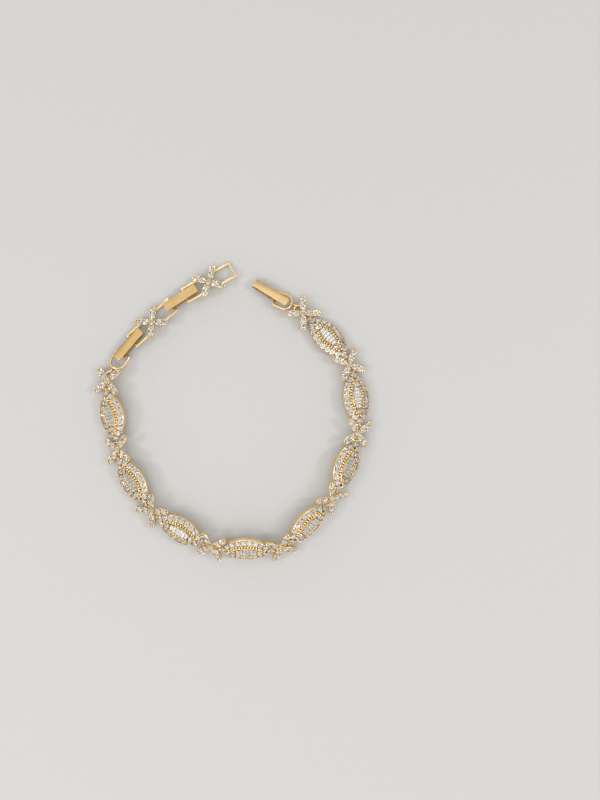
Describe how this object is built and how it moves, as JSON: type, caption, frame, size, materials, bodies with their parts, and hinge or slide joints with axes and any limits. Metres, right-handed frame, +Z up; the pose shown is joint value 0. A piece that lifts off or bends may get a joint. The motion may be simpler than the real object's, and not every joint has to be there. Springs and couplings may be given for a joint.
{
  "type": "leaf bracelet",
  "caption": "Gold link bracelet of stone-paved leaf links joined by cross links, with a fold-over clasp and a fold-over extender, lying unfastened.",
  "frame": {"origin": "bottom centre of the bounding box, on the surface that the bracelet lies on", "axes": "+Z up from the surface, +Y from the middle of the chain towards the two open ends, +X towards the clasp's side"},
  "size_m": [0.0708, 0.0766, 0.0056],
  "materials": {
    "leaf_gold": "polished pale gold plating with pave beads and claws",
    "cross_gold": "polished pale gold plating with claws",
    "plain_gold": "smooth polished pale gold plating",
    "clear_stone": "faceted colourless stones"
  },
  "bodies": {
    "chain": {"clasp_plate": "plain_gold", "clasp_frame": "plain_gold", "cross_link_1": "cross_gold", "cross_link_2": "cross_gold", "cross_link_3": "cross_gold", "cross_link_4": "cross_gold", "cross_link_5": "cross_gold", "cross_link_6": "cross_gold", "cross_link_7": "cross_gold", "cross_link_8": "cross_gold", "cross_link_9": "cross_gold", "cross_link_10": "cross_gold", "cross_link_11": "cross_gold", "leaf_link_1": "leaf_gold", "leaf_link_2": "leaf_gold", "leaf_link_3": "leaf_gold", "leaf_link_4": "leaf_gold", "leaf_link_5": "leaf_gold", "leaf_link_6": "leaf_gold", "leaf_link_7": "leaf_gold", "leaf_link_8": "leaf_gold", "extender_frame": "plain_gold", "extender_plate_1": "plain_gold", "extender_plate_2": "plain_gold"},
    "main_cover": {"clasp_cover": "plain_gold"},
    "bar_cover_1": {"extender_cover_1": "plain_gold"},
    "bar_cover_2": {"extender_cover_2": "plain_gold"}
  },
  "joints": [
    {"name": "clasp_hinge", "type": "hinge", "parent": "chain", "child": "main_cover", "pos_m": [0.00572, 0.03243, 0.00151], "axis": [-0.4947, -0.7842, 0.3746], "range_deg": [0, 135]},
    {"name": "bar_1_hinge", "type": "hinge", "parent": "chain", "child": "bar_cover_1", "pos_m": [-0.0238, 0.02003, 0.00159], "axis": [-0.7254, 0.6231, -0.2924], "range_deg": [0, 105]},
    {"name": "bar_2_hinge", "type": "hinge", "parent": "chain", "child": "bar_cover_2", "pos_m": [-0.0098, 0.03104, 0.00149], "axis": [-0.5377, 0.8077, -0.2418], "range_deg": [0, 105]}
  ]
}
